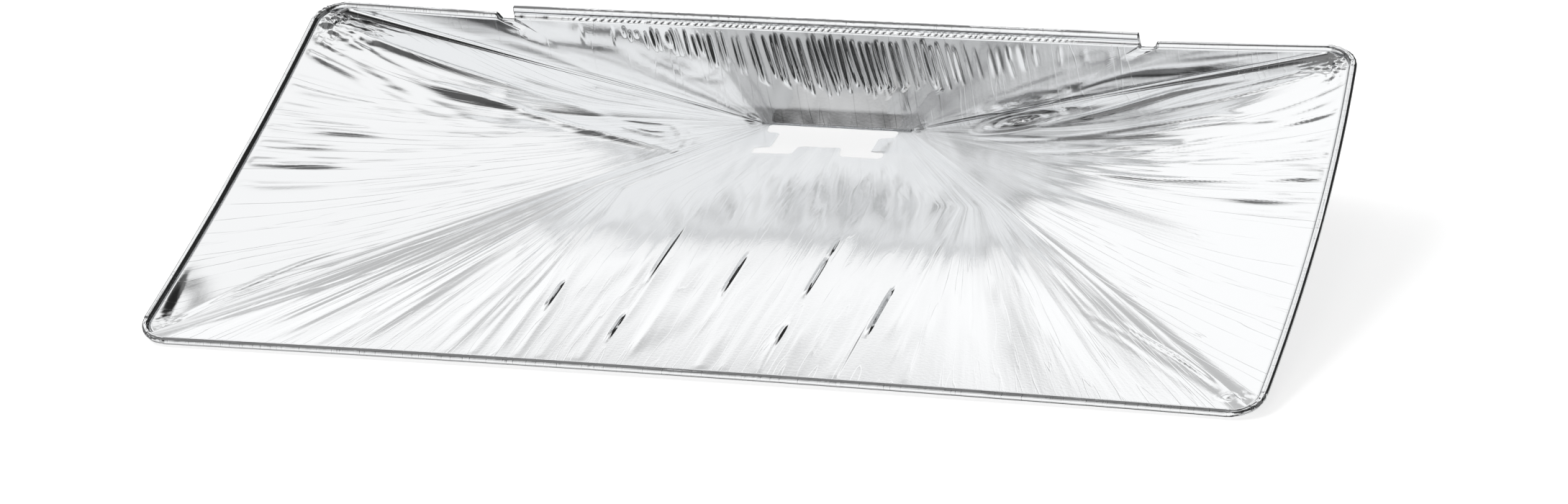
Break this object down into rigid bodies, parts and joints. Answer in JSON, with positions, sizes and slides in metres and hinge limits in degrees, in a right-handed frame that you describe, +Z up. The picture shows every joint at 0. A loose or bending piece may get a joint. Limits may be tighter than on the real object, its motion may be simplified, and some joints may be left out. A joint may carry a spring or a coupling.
{
  "type": "foil drip tray liner",
  "caption": "Rectangular aluminium foil pan liner whose four slopes fall to a cut drain outlet near its rear edge, with a rolled rim.",
  "frame": {"origin": "middle of the liner's box, on the surface it lies on", "axes": "+X along the long rim to the right, +Y from the front rim to the rear edge, +Z up"},
  "size_m": [0.6444, 0.3212, 0.0778],
  "materials": {
    "foil": "bright rolled foil, creased and wrinkled"
  },
  "bodies": {
    "root": {"foil_liner": "foil"}
  },
  "joints": []
}
